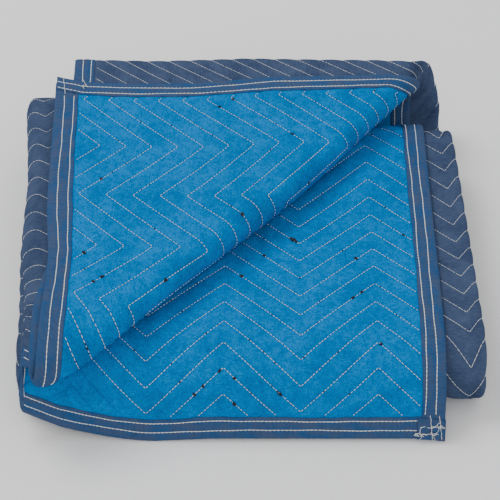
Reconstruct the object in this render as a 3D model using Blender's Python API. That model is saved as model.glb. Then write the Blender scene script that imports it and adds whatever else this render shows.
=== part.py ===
"""Moving blanket, folded into a square pack with its top corner laid back.

One quilted pad, four panels across and four quarters deep, and a binding strip on each of
its four edges. The cloth is laid out flat first, u across the panels and v along the
quarters, and every point of it is then placed in the fold. Lengths are in stitch pitches
(the distance between two zigzag rows) unless a name ends in _M, which is metres.
"""
import bmesh
import bpy
from math import cos, pi, radians, sin
from mathutils import Vector

# driving dimensions
PITCH_M = 0.0295
LAYER_M = 0.0076
PAD_HALF_M = 0.0023
PUFF_M = 0.0006
EDGE_HALF_M = 0.0015
BINDING_IN_M = 0.0019
BINDING_OUT_M = 0.0027
BINDING_WRAP_M = 0.0015
TRIM_GAP_M = 0.0004
BINDING = 0.87
LAYER = LAYER_M / PITCH_M

# middle of the folded pack's box, which becomes the origin
MIDDLE_X_M = -0.06774
MIDDLE_Y_M = 0.18820

# colours of the felted face and of the woven binding
TEAL = (0.02, 0.26, 0.55)
NAVY = (0.05, 0.10, 0.22)
FELT_ROUGHNESS = 0.95
WEAVE_ROUGHNESS = 0.85

# zigzag quilting
ZIG_RUN = 2.97
ZIG_RISE = 2.72
ZIG_ROW_START = 0.46
ZIG_RAMP = 2.2

# plan of the pack: x to the right, y away, zero at a stitch corner of the top panel
NEAR_END = -4.15
FAR_FOLD = 11.5
NEAR_FOLD = 0.2
INNER_END = 0.55
INNER_SPINE = -10.8
TOP_LEVEL = 12
FAR_CENTRE = 7.5
NEAR_CENTRE = 5.5

# the three upper panels of the top quarter, turned a little and rolled back over a diagonal
LEAF_TURN = radians(4.0)
LEAF_PIVOT = (-11.2, 11.5)
CREASE_POINT = (-10.78, -2.9)
CREASE_ANGLE = radians(43.8)
CREASE_BOW = 0.7
CREASE_BOW_START = 10.0
CREASE_BOW_LENGTH = 14.0
ROLL_GAP = 0.6
FLAP_STRETCH = 1.05
ROLL_CUTS = 6

# x of the free edges and of the right-hand fold: (y, x) rows from near to far
EDGE_TOP = ((-4.1, 5.5), (12.0, 5.6))
EDGE_LEAF = ((-4.1, 6.73), (-1.0, 6.4), (1.5, 6.3), (4.8, 6.5), (9.7, 6.28), (11.0, 6.05), (13.0, 5.5))
EDGE_LOWER = ((-4.1, 5.5), (12.0, 5.7))
FOLD_LEAF = ((-4.1, 8.5), (0.0, 8.1), (4.0, 7.98), (9.5, 7.35), (10.8, 7.15), (12.6, 6.92), (15.0, 6.75))
SPINE = ((-2.0, -10.95), (4.0, -10.9), (8.0, -10.85), (13.0, -11.25))
FOLD_LOWER = ((-2.0, 7.05), (2.0, 6.93), (5.0, 6.88), (8.0, 6.82), (11.0, 6.75), (14.0, 6.5))

# how much further away the leaf's far fold lies: (x, distance)
LEAF_FAR_SHIFT = ((-11.0, 1.25), (-6.0, 1.0), (0.0, 0.9))

# slope of the top panel where it hangs over the near folds: (y, degrees)
SLOPE = ((-4.1, 68.0), (-3.0, 66.0), (-2.0, 52.0), (-1.0, 30.0), (0.0, 9.0), (1.0, 3.0), (2.0, 0.0))
HANG_START = 2.0
HANG_END = -6.0

# the near left corner is drawn in: how far, from which x and y, and over what distances
CORNER_PULL = 1.4
CORNER_X = -5.5
CORNER_WIDTH = 5.3
CORNER_Y = 4.0
CORNER_DEPTH = 9.0

# the spine's near end is drawn in: how far, from which x and y, and over what distances
DRAWN_IN = 0.42
DRAWN_X = -7.0
DRAWN_WIDTH = 4.0
DRAWN_Y = 6.5
DRAWN_DEPTH = 6.5

# the far folds slant away to the right: how far, from which x, y and level, and over what distances
SLANT = 0.65
SLANT_X = -11.0
SLANT_WIDTH = 18.0
SLANT_Y = 5.5
SLANT_DEPTH = 6.0
SLANT_TOP = 21.0
SLANT_FADE = 6.0

# where the quilting shows: past the crease, by the spine, the fold and on the right strip
SHOW_MARGIN = 1.2
SPINE_SHOW = 3.5
FOLD_SHOW = 2.2
STRIP_COLUMNS = 13.5
STRIP_SHOW = 15.0
HANG_ROWS = 12

# panels along the strip: start x key, end x key, level, first stitch corner, its side
PANELS = (
    ("edge4", "spine", 0, 2.55, 1),
    ("spine", "fold", 3, 0.35, -1),
    ("fold", "inner", 2, 1.75, 1),
    ("inner", "edge1", 1, 1.42, 1),
)
PANEL_WIDTHS = (16.5, 18.0, 18.02, 17.4)
LEAF_COLUMNS = (0.95, 1.6, 2.25, 2.9, 3.65, 4.39, 5.87, 7.36)
# bends between panels: radius and centre level, both in layers, and the side it bulges to
BENDS = ((1.5, 1.5, -1), (0.5, 2.5, 1), (0.5, 1.5, -1))
BEND_STEPS = (4, 4, 3)
# the right-hand fold has a stitch corner on it
FOLD_CORNER_BEND = 1

# quarters and the folds between them along the path
FAR_REF = 6.0 * LAYER
NEAR_REF = 4.0 * LAYER
IN_FAR_REF = 2.0 * LAYER
SEGMENTS = (
    ("q1", FAR_FOLD - NEAR_END),
    ("far", pi * FAR_REF),
    ("q2", FAR_FOLD - NEAR_FOLD),
    ("near", pi * NEAR_REF),
    ("q3", FAR_FOLD - NEAR_FOLD),
    ("in_far", pi * IN_FAR_REF),
    ("q4", FAR_FOLD - INNER_END),
)


def mix(a, b, f):
    return a + (b - a) * f


def smooth(f):
    f = min(max(f, 0.0), 1.0)
    return f * f * (3.0 - 2.0 * f)


def along(rows, y):
    """Read a (y, value) table at y, straight between its rows."""
    if y <= rows[0][0]:
        return rows[0][1]
    for (y0, v0), (y1, v1) in zip(rows, rows[1:]):
        if y <= y1:
            return mix(v0, v1, (y - y0) / (y1 - y0))
    return rows[-1][1]


def strip_pieces():
    """Panels and bends in order, each with its start and length along the strip."""
    pieces = []
    u = 0.0
    for i, width in enumerate(PANEL_WIDTHS):
        pieces.append(("panel", i, u, width))
        u += width
        if i < len(BENDS):
            length = pi * BENDS[i][0] * LAYER
            pieces.append(("bend", i, u, length))
            u += length
    return pieces, u


PIECES, STRIP = strip_pieces()

# the near end isn't quite straight: (place along the strip, further in)
END_OFFSETS = (
    (0.0, 0.0),
    (PIECES[2][2], 0.0),
    (PIECES[4][2], 0.85),
    (PIECES[6][2] - 9.0, 0.3),
    (PIECES[6][2], -0.8),
    (PIECES[6][2] + 7.0, -0.15),
    (STRIP, 0.05),
)
END_OFFSET_REACH = 9.0


def path_segments():
    """Quarters and folds in order, each with its start and length along the path."""
    rows = []
    v = 0.0
    for name, length in SEGMENTS:
        rows.append((name, v, length))
        v += length
    return rows, v


PATH, DEPTH = path_segments()


def piece_at(u):
    for kind, i, start, length in PIECES:
        if u <= start + length + 1e-9:
            return kind, i, (u - start) / length
    return kind, i, (u - start) / length


def segment_at(v):
    for name, start, length in PATH:
        if v <= start + length + 1e-9:
            return name, v - start, length
    return name, v - start, length


def section(u, y, top):
    """x, level and share of the leaf's turn for a place along the strip."""
    xs = {
        "edge4": along(EDGE_TOP if top else EDGE_LOWER, y),
        "edge1": along(EDGE_LEAF if top else EDGE_LOWER, y),
        "fold": along(FOLD_LEAF if top else FOLD_LOWER, y),
        "spine": along(SPINE, y),
        "inner": INNER_SPINE,
    }
    kind, i, f = piece_at(u)
    if kind == "panel":
        start, end, level, _, _ = PANELS[i]
        return mix(xs[start], xs[end], f), level, 0.0 if i == 0 else 1.0
    radius, centre, side = BENDS[i]
    turn = pi * f
    x = xs[PANELS[i][1]] + side * radius * LAYER * sin(turn)
    rising = 1 if PANELS[i + 1][2] > PANELS[i][2] else -1
    return x, centre - rising * radius * cos(turn), smooth(f) if i == 0 else 1.0


def crease_bow(run):
    """How far the crease bows away from a straight line toward its far end."""
    return CREASE_BOW * max((run - CREASE_BOW_START) / CREASE_BOW_LENGTH, 0.0) ** 2


def crease_distance(x, y):
    """Distance past the crease, and distance along it."""
    dx = x - CREASE_POINT[0]
    dy = y - CREASE_POINT[1]
    c = cos(CREASE_ANGLE)
    s = sin(CREASE_ANGLE)
    run = dx * c + dy * s
    return dx * s - dy * c + crease_bow(run), run


ROLL_OUTER = (ROLL_GAP + 2.0) * LAYER
ROLL_AXIS = (TOP_LEVEL + 3 + ROLL_GAP) * LAYER


def roll(x, y, level):
    """Roll a leaf point back over the crease: x, y, height and how far it is turned over."""
    past, run = crease_distance(x, y)
    z = (TOP_LEVEL + level) * LAYER
    turned = 0.0
    across = past
    if past > 0.0:
        radius = (ROLL_GAP + 3 - level) * LAYER
        angle = min(past / ROLL_OUTER, pi)
        across = radius * sin(angle)
        z = ROLL_AXIS - radius * cos(angle)
        turned = angle / pi
        if angle >= pi:
            across = -(past - pi * ROLL_OUTER) * FLAP_STRETCH
    across -= crease_bow(run)
    c = cos(CREASE_ANGLE)
    s = sin(CREASE_ANGLE)
    return CREASE_POINT[0] + run * c + across * s, CREASE_POINT[1] + run * s - across * c, z, turned


def bend(y, z, start, centre, angle, away):
    """Turn a height above the bend's centre round it: far folds away, near folds toward."""
    rise = z - centre * LAYER
    return start + away * rise * sin(angle), centre * LAYER + rise * cos(angle)


def turn_leaf(x, y, share):
    a = LEAF_TURN * share
    dx = x - LEAF_PIVOT[0]
    dy = y - LEAF_PIVOT[1]
    return LEAF_PIVOT[0] + dx * cos(a) - dy * sin(a), LEAF_PIVOT[1] + dx * sin(a) + dy * cos(a)


SLOPE_STEP = 0.05


def hang_curve():
    """The hanging top panel's curve: (flat y, true y, drop, slope) rows going toward the near end."""
    rows = [(HANG_START, HANG_START, 0.0, 0.0)]
    while rows[-1][0] > HANG_END:
        t, y, drop, _ = rows[-1]
        a = radians(along(SLOPE, t - 0.5 * SLOPE_STEP))
        rows.append((t - SLOPE_STEP, y - SLOPE_STEP * cos(a), drop + SLOPE_STEP * sin(a), a))
    return rows


HANG = hang_curve()


def hang_at(value, column):
    rows = HANG
    if value >= rows[0][column]:
        return value, value, 0.0, 0.0
    for a, b in zip(rows, rows[1:]):
        if value >= b[column]:
            f = (value - a[column]) / (b[column] - a[column])
            return tuple(mix(p, q, f) for p, q in zip(a, b))
    return rows[-1]


def skew(x, y, z):
    """The spine is drawn in toward its near end, and the far folds slant away to the right."""
    below = min(max((SLANT_TOP - z / LAYER) / SLANT_FADE, 0.0), 1.0)
    share = smooth((DRAWN_X - x) / DRAWN_WIDTH) * smooth((DRAWN_Y - y) / DRAWN_DEPTH)
    slant = min(max((x - SLANT_X) / SLANT_WIDTH, 0.0), 1.0) * smooth((y - SLANT_Y) / SLANT_DEPTH)
    return x + DRAWN_IN * share, y + SLANT * slant * below


def settle(x, y, z):
    """Let the near side of the pack sink and its top layers hang down to the floor."""
    x, y = skew(x, y, z)
    top = TOP_LEVEL * LAYER
    pull = CORNER_PULL * max((CORNER_X - x) / CORNER_WIDTH, 0.0) ** 1.5
    pull *= smooth((CORNER_Y - y) / CORNER_DEPTH)
    lift = min(max((z - (TOP_LEVEL - 1) * LAYER) / LAYER, 0.0), 1.0)
    y += pull * lift
    if lift <= 0.0:
        _, _, drop, _ = hang_at(y, 1)
        return x, y, z * (1.0 - drop / top)
    _, true_y, drop, slope = hang_at(y, 0)
    above = z - top
    hung_y = true_y - above * sin(slope)
    hung_z = top - drop + above * cos(slope)
    _, _, low_drop, _ = hang_at(y, 1)
    low_z = z * (1.0 - low_drop / top)
    return x, mix(y, hung_y, lift), mix(low_z, hung_z, lift)


def end_offset(u, v):
    """How much further in or out the near end lies on each panel."""
    return along(END_OFFSETS, u) * max(1.0 - v / END_OFFSET_REACH, 0.0)


def place(u, v):
    """The middle of the cloth at a place on it, in metres."""
    name, run, length = segment_at(v)
    if name in ("q1", "far"):
        y = NEAR_END + v + end_offset(u, v)
        x, level, share = section(u, y, True)
        far_shift = along(LEAF_FAR_SHIFT, x) * share
        far_fold = FAR_FOLD + far_shift
        y += far_shift * min(v / PATH[0][2], 1.0)
        z = (TOP_LEVEL + level) * LAYER
        turned = 0.0
        if share > 0.0:
            rx, ry, rz, turned = roll(x, y, level)
            x = mix(x, rx, share)
            y = mix(y, ry, share)
            z = mix(z, rz, share) if level < 1 else rz
        over = y - far_fold
        if over > 0.0:
            kept = over * smooth(turned)
            angle = (over - kept) / FAR_REF
            y, z = bend(y, z, far_fold, FAR_CENTRE, angle, 1)
            y += kept * cos(angle)
            z -= kept * sin(angle)
        x, y = turn_leaf(x, y, share)
    elif name == "q2":
        y = FAR_FOLD - run
        x, level, share = section(u, y, False)
        x_top, _, _ = section(u, NEAR_END + v, True)
        fade = smooth(1.0 - run / length)
        x = mix(x, x_top, fade)
        y += along(LEAF_FAR_SHIFT, x) * share * fade
        z = (3 - level) * LAYER
        x, y = turn_leaf(x, y, share * fade)
    elif name == "near":
        x, level, _ = section(u, NEAR_FOLD, False)
        y, z = bend(0.0, (8 + level) * LAYER, NEAR_FOLD, NEAR_CENTRE, pi - run / NEAR_REF, -1)
    elif name == "q3":
        y = NEAR_FOLD + run
        x, level, _ = section(u, y, False)
        z = (8 + level) * LAYER
    elif name == "in_far":
        x, level, _ = section(u, FAR_FOLD, False)
        y, z = bend(0.0, (8 + level) * LAYER, FAR_FOLD, FAR_CENTRE, run / IN_FAR_REF, 1)
    else:
        y = FAR_FOLD - run
        x, level, _ = section(u, y, False)
        z = (7 - level) * LAYER
    x, y, z = settle(x, y, z)
    return Vector((x, y, z)) * PITCH_M + Vector((-MIDDLE_X_M, -MIDDLE_Y_M, PAD_HALF_M))


PROBE = 0.02


def frame_at(u, v):
    """Place, normal and the two directions along the cloth."""
    du = (place(min(u + PROBE, STRIP), v) - place(max(u - PROBE, 0.0), v)).normalized()
    dv = (place(u, min(v + PROBE, DEPTH)) - place(u, max(v - PROBE, 0.0))).normalized()
    return place(u, v), dv.cross(du).normalized(), du, dv


def stitch_corners(i):
    """Stitch corners of a panel: distance from its start and side."""
    width = PANEL_WIDTHS[i]
    _, _, _, first, side = PANELS[i]
    corners = []
    while first < width:
        corners.append((first, side))
        first += ZIG_RUN
        side = -side
    return corners


def all_corners():
    """Every stitch corner along the strip, as (place, shift of the rows there)."""
    corners = [(0.0, 0.0), (BINDING, 0.0)]
    for kind, i, start, length in PIECES:
        if kind == "panel":
            corners += [(start + d, side * 0.5 * ZIG_RISE) for d, side in stitch_corners(i)]
        elif i == FOLD_CORNER_BEND:
            corners.append((start + 0.5 * length, -0.5 * ZIG_RISE))
    corners = [c for c in corners if c[0] < STRIP - 1.3 * BINDING]
    return corners + [(STRIP - BINDING, 0.0), (STRIP, 0.0)]


CORNERS = all_corners()


def panel_columns(i, start, length):
    """Columns of a panel: at its stitch corners, between them where it hangs, and near the spine."""
    corners = [u for u, _ in CORNERS if start - 1e-6 < u < start + length + 1e-6]
    if i == 0:
        return corners + [0.5 * (a + b) for a, b in zip(corners[1:], corners[2:])]
    from_spine = LEAF_COLUMNS if i != 2 else [length - d for d in LEAF_COLUMNS]
    near = [start + d for d in from_spine]
    reach = LEAF_COLUMNS[-1] + 0.5
    if i == 2:
        return near + [u for u in corners if u < start + length - reach]
    kept = [u for u in corners if u > start + reach or (i == 1 and u < start + 1.0)]
    return near + kept


def columns():
    """Columns of the mesh: u, shift of the rows there, and the piece they lie in."""
    rows = []
    for kind, i, start, length in PIECES:
        if kind == "panel":
            rows += [(u, i) for u in panel_columns(i, start, length)]
        else:
            steps = BEND_STEPS[i]
            rows += [(start + length * k / steps, i + 0.5) for k in range(steps + 1)]
    rows.sort()
    return [(u, along(CORNERS, u), where) for u, where in rows]


def runs_through(u, where):
    """Whether a column goes on past the top quarter: at the folds, edges and right strip."""
    if where != int(where):
        return True
    if min(u, STRIP - u) < BINDING + 0.01:
        return True
    return where == 1 and u > PIECES[2][2] + STRIP_COLUMNS


def is_dense(where, u, mark):
    """Whether the quilting shows there, so that its rows are modelled."""
    name, run, _ = segment_at(mark)
    if name == "q1":
        x, _, _ = section(u, NEAR_END + run, True)
        past, _ = crease_distance(x, NEAR_END + run)
        if where in (0, 3):
            return past > -SHOW_MARGIN
        if where in (2, 1.5, 2.5):
            return u < PIECES[4][2] + FOLD_SHOW and past > -SHOW_MARGIN
        return where in (0.5, 1) and u < PIECES[2][2] + SPINE_SHOW
    if name == "q3":
        return (where == 1 and u > PIECES[2][2] + STRIP_SHOW) or where == 1.5
    return False


def row_marks(where, u):
    """Places of a column's rows along the path, before its shift."""
    marks = []
    for name, start, length in PATH:
        if name == "q1":
            marks += [0.0, BINDING]
            first = 1.0 + ZIG_ROW_START
            for k in range(int((length - first - 0.3) / 0.5) + 1):
                mark = first + 0.5 * k
                hanging = k % 2 == 0 and k < HANG_ROWS
                if is_dense(where, u, mark) or hanging or k % 4 == 0:
                    marks.append(mark)
            marks.append(start + length)
        elif name == "far":
            marks += [start + length * k / 7 for k in range(1, 8)]
        elif name == "near":
            marks += [start + length * k / 6 for k in range(1, 7)]
        elif name == "in_far":
            marks += [start + length * k / 5 for k in range(1, 6)]
        elif name == "q3" and is_dense(where, u, start):
            first = start + 0.5
            marks += [first + 0.5 * k for k in range(int((length - 0.8) / 0.5) + 1)]
            marks.append(start + length)
        elif name == "q3":
            marks += [start + 1.0, start + 2.5, start + 5.5, start + length]
        elif name == "q2":
            marks += [start + length - 5.5, start + length - 2.5, start + length - 1.0, start + length]
        else:
            marks += [start + length - 5.5, start + length - 2.5, DEPTH - BINDING, DEPTH]
    return marks


def shift_share(mark):
    """How far the rows follow the zigzag: not at the folds and the near end."""
    name, run, length = segment_at(mark)
    if name not in ("q1", "q3"):
        return 0.0
    from_start = run - (BINDING if name == "q1" else 0.0)
    return min(max(min(from_start, length - run) / ZIG_RAMP, 0.0), 1.0)


def join_columns(faces, left, right, between=()):
    """Fill between two columns of (mark, vertex) rows; between are points on their first row."""
    a = 0
    b = 0
    while a < len(left) - 1 or b < len(right) - 1:
        next_a = left[a + 1][0] if a < len(left) - 1 else 1e9
        next_b = right[b + 1][0] if b < len(right) - 1 else 1e9
        face = [left[a][1], *between, right[b][1]]
        between = ()
        if next_b < next_a + 1e-6:
            b += 1
            face.append(right[b][1])
        if next_a < next_b + 1e-6:
            a += 1
            face.append(left[a][1])
        faces.append(face)


TOP_END = PATH[1][1] + PATH[1][2]


def flat_cloth():
    """The whole cloth laid out: a mesh whose x and y are the places along it."""
    points = []
    faces = []
    before = None
    before_through = None
    between = []
    for u, shift, where in columns():
        through = runs_through(u, where)
        rows = []
        for mark in row_marks(where, u):
            if through or mark < TOP_END + 1e-6:
                points.append((u, mark + shift * shift_share(mark), 0.0))
                rows.append((mark, len(points) - 1))
        upper = [r for r in rows if r[0] < TOP_END + 1e-6]
        if before:
            join_columns(faces, before, upper)
        before = upper
        if not through:
            between.append(upper[-1][1])
            continue
        lower = [r for r in rows if r[0] > TOP_END - 1e-6]
        if before_through:
            join_columns(faces, before_through, lower, between)
        before_through = lower
        between = []
    mesh = bmesh.new()
    verts = [mesh.verts.new(p) for p in points]
    for face in faces:
        mesh.faces.new([verts[k] for k in face])
    cut_along_crease(mesh)
    bmesh.ops.triangulate(mesh, faces=[f for f in mesh.faces if len(f.verts) > 3])
    return mesh


def past_crease(vert):
    """Distance past the crease of a point of the flat cloth, or None where it isn't in the leaf."""
    u, v = vert.co.x, vert.co.y
    if u < PIECES[2][2] or v > PATH[0][2] + 6.0:
        return None
    y = NEAR_END + v + end_offset(u, v)
    x, _, share = section(u, y, True)
    y += along(LEAF_FAR_SHIFT, x) * share * min(v / PATH[0][2], 1.0)
    return crease_distance(x, y)[0]


def cut_along_crease(mesh):
    """Cut the leaf along lines that follow the roll, so that it bends there."""
    for k in range(ROLL_CUTS + 1):
        level = pi * ROLL_OUTER * k / ROLL_CUTS
        on_line = set()
        for edge in list(mesh.edges):
            a, b = edge.verts
            da = past_crease(a)
            db = past_crease(b)
            if da is None or db is None:
                continue
            da -= level
            db -= level
            if abs(da) < 0.03:
                on_line.add(a)
            if abs(db) < 0.03:
                on_line.add(b)
            if a not in on_line and b not in on_line and da * db < 0.0:
                _, new = bmesh.utils.edge_split(edge, a, da / (da - db))
                on_line.add(new)
        for face in list(mesh.faces):
            found = [v for v in face.verts if v in on_line]
            if len(found) != 2:
                continue
            ring = list(face.verts)
            gap = abs(ring.index(found[0]) - ring.index(found[1]))
            if gap not in (1, len(ring) - 1):
                bmesh.utils.face_split(face, found[0], found[1])


def half_thickness(u, v):
    """Half the pad's thickness: drawn in at the stitch rows and under the bindings."""
    edge = min(u, STRIP - u, v, DEPTH - v)
    if edge < BINDING + 0.01:
        return EDGE_HALF_M
    share = shift_share(v)
    kind, i, _ = piece_at(u)
    name, run, _ = segment_at(v)
    if share < 1.0 or not is_dense(i if kind == "panel" else i + 0.5, u, v):
        return PAD_HALF_M
    shift = along(CORNERS, u)
    offset = (v - shift - ROW_STARTS[name]) % 1.0
    return PAD_HALF_M + PUFF_M * (1.0 if 0.25 < offset < 0.75 else -1.0)


ROW_STARTS = {"q1": ZIG_ROW_START, "q3": PATH[4][1] + 0.5}


def paint(obj, color, roughness):
    material = bpy.data.materials.new(obj.name)
    material.use_nodes = True
    shader = material.node_tree.nodes["Principled BSDF"]
    shader.inputs["Base Color"].default_value = (*color, 1.0)
    shader.inputs["Roughness"].default_value = roughness
    shader.inputs["Metallic"].default_value = 0.0
    obj.data.materials.append(material)


def finish_object(name, mesh, color, roughness):
    bmesh.ops.triangulate(mesh, faces=[f for f in mesh.faces if len(f.verts) > 3])
    bmesh.ops.recalc_face_normals(mesh, faces=mesh.faces)
    data = bpy.data.meshes.new(name)
    mesh.to_mesh(data)
    mesh.free()
    obj = bpy.data.objects.new(name, data)
    bpy.context.scene.collection.objects.link(obj)
    paint(obj, color, roughness)
    return obj


def make_pad(cloth):
    """The quilted pad: the folded cloth with its thickness on both sides."""
    mesh = bmesh.new()
    top = {}
    low = {}
    for vert in cloth.verts:
        u, v = vert.co.x, vert.co.y
        middle, normal, _, _ = frame_at(u, v)
        half = half_thickness(u, v)
        top[vert] = mesh.verts.new(middle + normal * half)
        low[vert] = mesh.verts.new(middle - normal * half)
    for face in cloth.faces:
        mesh.faces.new([top[v] for v in face.verts])
        mesh.faces.new([low[v] for v in reversed(face.verts)])
    for edge in cloth.edges:
        if edge.is_boundary:
            a, b = edge.verts
            mesh.faces.new((top[a], top[b], low[b], low[a]))
    return finish_object("quilted_pad", mesh, TEAL, FELT_ROUGHNESS)


def make_binding(cloth, name, inside, outer, outward):
    """A folded strip round one edge: faces chosen by inside, the free edge by outer."""
    mesh = bmesh.new()
    faces = [f for f in cloth.faces if all(inside(v.co.x, v.co.y) for v in f.verts)]
    used = {v for f in faces for v in f.verts}
    skins = {}
    for vert in used:
        u, v = vert.co.x, vert.co.y
        u_in, v_in = clear_of_corner(name, u, v)
        middle, normal, du, dv = frame_at(u_in, v_in)
        out = outward[0] * du + outward[1] * dv
        at_edge = outer(u, v)
        wrap_in = out * (TRIM_GAP_M if at_edge else 0.0)
        wrap_out = out * (BINDING_WRAP_M if at_edge else 0.0)
        skins[vert] = (
            mesh.verts.new(middle + wrap_out + normal * BINDING_OUT_M),
            mesh.verts.new(middle + wrap_in + normal * BINDING_IN_M),
            mesh.verts.new(middle + wrap_in - normal * BINDING_IN_M),
            mesh.verts.new(middle + wrap_out - normal * BINDING_OUT_M),
        )
    for face in faces:
        for k in range(4):
            mesh.faces.new([skins[v][k] for v in face.verts])
    chosen = set(faces)
    for edge in {e for f in faces for e in f.edges}:
        if sum(1 for f in edge.link_faces if f in chosen) > 1:
            continue
        a, b = edge.verts
        if outer(a.co.x, a.co.y) and outer(b.co.x, b.co.y):
            mesh.faces.new((skins[a][0], skins[b][0], skins[b][3], skins[a][3]))
            mesh.faces.new((skins[a][1], skins[b][1], skins[b][2], skins[a][2]))
            continue
        mesh.faces.new((skins[a][0], skins[b][0], skins[b][1], skins[a][1]))
        mesh.faces.new((skins[a][3], skins[b][3], skins[b][2], skins[a][2]))
    close_ends(mesh, used, skins, outer, chosen)
    return finish_object(name, mesh, NAVY, WEAVE_ROUGHNESS)


def close_ends(mesh, used, skins, outer, chosen):
    """Fill the wrap's two ends, where the strip's free edge stops."""
    for vert in used:
        if not outer(vert.co.x, vert.co.y):
            continue
        at_edge = [e for e in vert.link_edges if any(f in chosen for f in e.link_faces)
                   and outer(*e.other_vert(vert).co.xy)]
        if len(at_edge) == 1:
            mesh.faces.new(skins[vert])


CORNER_GAP = TRIM_GAP_M / PITCH_M


def clear_of_corner(name, u, v):
    """End strips stop just short of the side strips."""
    if name.startswith("binding_side"):
        return u, v
    return min(max(u, BINDING + CORNER_GAP), STRIP - BINDING - CORNER_GAP), v


def main():
    for obj in list(bpy.data.objects):
        bpy.data.objects.remove(obj, do_unlink=True)
    cloth = flat_cloth()
    near = 1e-4

    def between_sides(u):
        return BINDING - near < u < STRIP - BINDING + near

    make_pad(cloth)
    make_binding(cloth, "binding_side_a", lambda u, v: u < BINDING + near,
                 lambda u, v: u < near, (-1, 0))
    make_binding(cloth, "binding_side_b", lambda u, v: u > STRIP - BINDING - near,
                 lambda u, v: u > STRIP - near, (1, 0))
    make_binding(cloth, "binding_near_end", lambda u, v: v < BINDING + near and between_sides(u),
                 lambda u, v: v < near, (0, -1))
    make_binding(cloth, "binding_inner_end",
                 lambda u, v: v > DEPTH - BINDING - near and between_sides(u),
                 lambda u, v: v > DEPTH - near, (0, 1))
    cloth.free()


main()
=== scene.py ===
from math import cos, pi, radians, sin

import bmesh
import bpy
import numpy as np
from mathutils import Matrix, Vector


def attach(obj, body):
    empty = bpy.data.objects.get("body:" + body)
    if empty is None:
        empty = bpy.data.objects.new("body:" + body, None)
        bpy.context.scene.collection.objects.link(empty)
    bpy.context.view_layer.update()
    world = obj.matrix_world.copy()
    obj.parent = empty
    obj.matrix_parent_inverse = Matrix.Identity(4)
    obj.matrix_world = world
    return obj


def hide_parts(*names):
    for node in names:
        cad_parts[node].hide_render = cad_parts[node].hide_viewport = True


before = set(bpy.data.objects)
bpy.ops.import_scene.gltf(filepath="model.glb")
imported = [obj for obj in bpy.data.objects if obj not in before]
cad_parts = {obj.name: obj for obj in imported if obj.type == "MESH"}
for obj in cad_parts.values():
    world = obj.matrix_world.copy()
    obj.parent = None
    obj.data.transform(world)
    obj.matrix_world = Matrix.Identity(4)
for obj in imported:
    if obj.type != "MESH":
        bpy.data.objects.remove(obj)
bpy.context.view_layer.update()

# lengths are in stitch pitches unless a name ends in _M, levels and bends' centres in layers;
# the fold is the solids' fold, but ROLL_PULL draws in the laid-back layers' near corner
PITCH_M = 0.0295
LAYER_M = 0.0076
PAD_HALF_M = 0.0023
BINDING = 0.87
LAYER = LAYER_M / PITCH_M
MIDDLE_X_M = -0.06774
MIDDLE_Y_M = 0.18820

ZIG_RUN = 2.97
ZIG_RISE = 2.72
ZIG_ROW_START = 0.46
ROW_DRIFT = 0.08
ROW_DRIFT_START = 17.0
ROW_DRIFT_LENGTH = 15.0
STRIP_CORNER_SHIFT = 0.62
CORNER_SHIFT_START = 18.0
CORNER_SHIFT_LENGTH = 8.0

NEAR_END = -4.15
FAR_FOLD = 11.5
LEAF_FAR_SHIFT = ((-11.0, 1.25), (-6.0, 1.0), (0.0, 0.9))
NEAR_FOLD = 0.2
INNER_END = 0.55
INNER_SPINE = -10.8
TOP_LEVEL = 12
THIRD_LEVEL = 8
FOURTH_TOP = 7
STRIP_TOP = 3
FAR_CENTRE = 7.5
NEAR_CENTRE = 5.5

LEAF_TURN = radians(4.0)
LEAF_PIVOT = (-11.2, 11.5)
CREASE_POINT = (-10.78, -2.9)
CREASE_ANGLE = radians(43.8)
CREASE_BOW = 0.7
CREASE_BOW_START = 10.0
CREASE_BOW_LENGTH = 14.0
ROLL_GAP = 0.6
FLAP_STRETCH = 1.05

EDGE_TOP = ((-4.1, 5.5), (12.0, 5.6))
EDGE_LEAF = ((-4.1, 6.73), (-1.0, 6.4), (1.5, 6.3), (4.8, 6.5), (9.7, 6.28), (11.0, 6.05), (13.0, 5.5))
EDGE_LOWER = ((-4.1, 5.5), (12.0, 5.7))
FOLD_LEAF = ((-4.1, 8.5), (0.0, 8.1), (4.0, 7.98), (9.5, 7.35), (10.8, 7.15), (12.6, 6.92), (15.0, 6.75))
SPINE = ((-2.0, -10.95), (4.0, -10.9), (8.0, -10.85), (13.0, -11.25))
FOLD_LOWER = ((-2.0, 7.05), (2.0, 6.93), (5.0, 6.88), (8.0, 6.82), (11.0, 6.75), (14.0, 6.5))
SLOPE = ((-4.1, 68.0), (-3.0, 66.0), (-2.0, 52.0), (-1.0, 30.0), (0.0, 9.0), (1.0, 3.0), (2.0, 0.0))
HANG_START = 2.0
HANG_END = -6.0
SLOPE_STEP = 0.05
CORNER_PULL = 1.4
CORNER_X = -5.5
CORNER_WIDTH = 5.3
CORNER_POWER = 1.5
CORNER_Y = 4.0
CORNER_DEPTH = 9.0
ROLL_PULL = 1.35
ROLL_PULL_FROM = 12.1
ROLL_PULL_DEPTH = 1.0
DRAWN_IN = 0.42
DRAWN_X = -7.0
DRAWN_WIDTH = 4.0
DRAWN_Y = 6.5
DRAWN_DEPTH = 6.5
SLANT = 0.65
SLANT_X = -11.0
SLANT_WIDTH = 18.0
SLANT_Y = 5.5
SLANT_DEPTH = 6.0
SLANT_TOP = 21.0
SLANT_FADE = 6.0
END_OFFSET_REACH = 9.0

# each panel's two sides, its level, its first stitch corner and which way that points
PANELS = (
    ("edge4", "spine", 0, 2.55, 1),
    ("spine", "fold", STRIP_TOP, 0.35, -1),
    ("fold", "inner", 2, 1.75, 1),
    ("inner", "edge1", 1, 1.42, 1),
)
PANEL_WIDTHS = (16.5, 18.0, 18.02, 17.4)
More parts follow.
